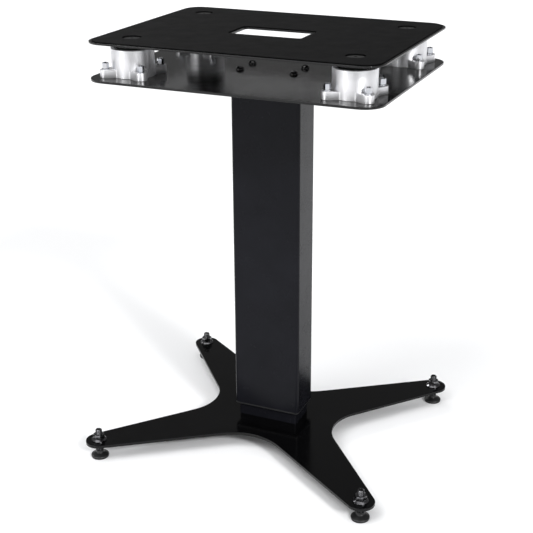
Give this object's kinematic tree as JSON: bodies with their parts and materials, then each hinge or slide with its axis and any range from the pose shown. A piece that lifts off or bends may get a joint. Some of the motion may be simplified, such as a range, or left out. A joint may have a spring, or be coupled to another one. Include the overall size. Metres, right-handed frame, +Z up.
{
  "type": "motorised lifting equipment stand",
  "caption": "Pedestal stand with an X base on levelling feet, a motorised telescopic column and a padded top plate floating on isolation mounts.",
  "frame": {"origin": "on the floor under the column's centre, with the column fully down and the feet at their drawn height", "axes": "+Z up, +X to the right, front of the stand towards -Y; the plates' long side runs along X"},
  "size_m": [0.547, 0.483, 0.748],
  "materials": {
    "powder_coat_black": "satin black powder coat with a fine orange-peel",
    "mat_black": "matt, fine even grain",
    "satin_aluminium": "turned and milled aluminium with a satin anodised skin",
    "zinc_steel": "bright zinc plate",
    "black_oxide_steel": "glossy black oxide",
    "plain_steel": "plain machined steel",
    "motor_grey": "dark grey painted can",
    "bronze": "turned bronze",
    "glide_plastic": "off-white acetal",
    "black_plastic": "moulded black nylon",
    "cap_black": "black glass-filled nylon",
    "rubber_black": "matt black rubber"
  },
  "bodies": {
    "base": {"base_plate": "powder_coat_black", "base_screws": "black_oxide_steel", "inner_tube": "powder_coat_black", "inner_tube_foot": "plain_steel", "inner_tube_guides": "glide_plastic", "nut_carrier": "plain_steel", "spindle_nut": "bronze", "foot_inserts": "zinc_steel", "foot_lock_nuts": "zinc_steel"},
    "lift": {"outer_tube": "powder_coat_black", "column_end_collar": "black_plastic", "outer_tube_guides": "glide_plastic", "column_head_plate": "plain_steel", "cable_grommet": "rubber_black", "motor_bracket": "plain_steel", "gearbox": "satin_aluminium", "gearbox_screws": "zinc_steel", "motor": "motor_grey", "lower_plate": "powder_coat_black", "head_screws": "black_oxide_steel", "mount_screws": "zinc_steel", "mount_washers": "zinc_steel", "mount_nuts": "zinc_steel", "mount_housing_front_left": "satin_aluminium", "mount_housing_front_right": "satin_aluminium", "mount_housing_back_left": "satin_aluminium", "mount_housing_back_right": "satin_aluminium", "mount_rubber_front_left": "rubber_black", "mount_rubber_front_right": "rubber_black", "mount_rubber_back_left": "rubber_black", "mount_rubber_back_right": "rubber_black"},
    "spindle": {"spindle": "plain_steel", "spindle_stop": "zinc_steel"},
    "top": {"top_plate": "powder_coat_black", "top_screws": "black_oxide_steel", "top_mat": "mat_black", "mount_cap_front_left": "cap_black", "mount_cap_front_right": "cap_black", "mount_cap_back_left": "cap_black", "mount_cap_back_right": "cap_black"},
    "foot_front_left": {"foot_disc_front_left": "black_plastic", "foot_sole_front_left": "rubber_black"},
    "stud_front_left": {"foot_stud_front_left": "zinc_steel"},
    "foot_front_right": {"foot_disc_front_right": "black_plastic", "foot_sole_front_right": "rubber_black"},
    "stud_front_right": {"foot_stud_front_right": "zinc_steel"},
    "foot_back_left": {"foot_disc_back_left": "black_plastic", "foot_sole_back_left": "rubber_black"},
    "stud_back_left": {"foot_stud_back_left": "zinc_steel"},
    "foot_back_right": {"foot_disc_back_right": "black_plastic", "foot_sole_back_right": "rubber_black"},
    "stud_back_right": {"foot_stud_back_right": "zinc_steel"}
  },
  "joints": [
    {"name": "lift_slide", "type": "slide", "parent": "base", "child": "lift", "axis": [0, 0, 1], "range_m": [0, 0.3]},
    {"name": "spindle_turn", "type": "hinge", "parent": "lift", "child": "spindle", "pos_m": [0, 0, 0.4], "axis": [0, 0, 1], "range_deg": [0, 13501]},
    {"name": "isolator_travel", "type": "slide", "parent": "lift", "child": "top", "axis": [0, 0, 1], "range_m": [-0.003, 0], "stiffness_N_per_m": 240000, "springref_m": 0.0003, "deforming": ["mount_rubber_front_left", "mount_rubber_front_right", "mount_rubber_back_left", "mount_rubber_back_right"]},
    {"name": "foot_level_front_left", "type": "slide", "parent": "base", "child": "foot_front_left", "axis": [0, 0, -1], "range_m": [-0.008, 0.008]},
    {"name": "stud_turn_front_left", "type": "hinge", "parent": "foot_front_left", "child": "stud_front_left", "pos_m": [-0.2495, -0.2175, 0.03], "axis": [0, 0, -1], "range_deg": [-1646.7, 1646.7]},
    {"name": "foot_level_front_right", "type": "slide", "parent": "base", "child": "foot_front_right", "axis": [0, 0, -1], "range_m": [-0.008, 0.008]},
    {"name": "stud_turn_front_right", "type": "hinge", "parent": "foot_front_right", "child": "stud_front_right", "pos_m": [0.2495, -0.2175, 0.03], "axis": [0, 0, -1], "range_deg": [-1646.7, 1646.7]},
    {"name": "foot_level_back_left", "type": "slide", "parent": "base", "child": "foot_back_left", "axis": [0, 0, -1], "range_m": [-0.008, 0.008]},
    {"name": "stud_turn_back_left", "type": "hinge", "parent": "foot_back_left", "child": "stud_back_left", "pos_m": [-0.2495, 0.2175, 0.03], "axis": [0, 0, -1], "range_deg": [-1646.7, 1646.7]},
    {"name": "foot_level_back_right", "type": "slide", "parent": "base", "child": "foot_back_right", "axis": [0, 0, -1], "range_m": [-0.008, 0.008]},
    {"name": "stud_turn_back_right", "type": "hinge", "parent": "foot_back_right", "child": "stud_back_right", "pos_m": [0.2495, 0.2175, 0.03], "axis": [0, 0, -1], "range_deg": [-1646.7, 1646.7]}
  ],
  "couplings": [
    {"joint": "spindle_turn", "follows": "lift_slide", "rad_per_m": 785.4},
    {"joint": "stud_turn_front_left", "follows": "foot_level_front_left", "rad_per_m": 3590.4},
    {"joint": "stud_turn_front_right", "follows": "foot_level_front_right", "rad_per_m": 3590.4},
    {"joint": "stud_turn_back_left", "follows": "foot_level_back_left", "rad_per_m": 3590.4},
    {"joint": "stud_turn_back_right", "follows": "foot_level_back_right", "rad_per_m": 3590.4}
  ]
}
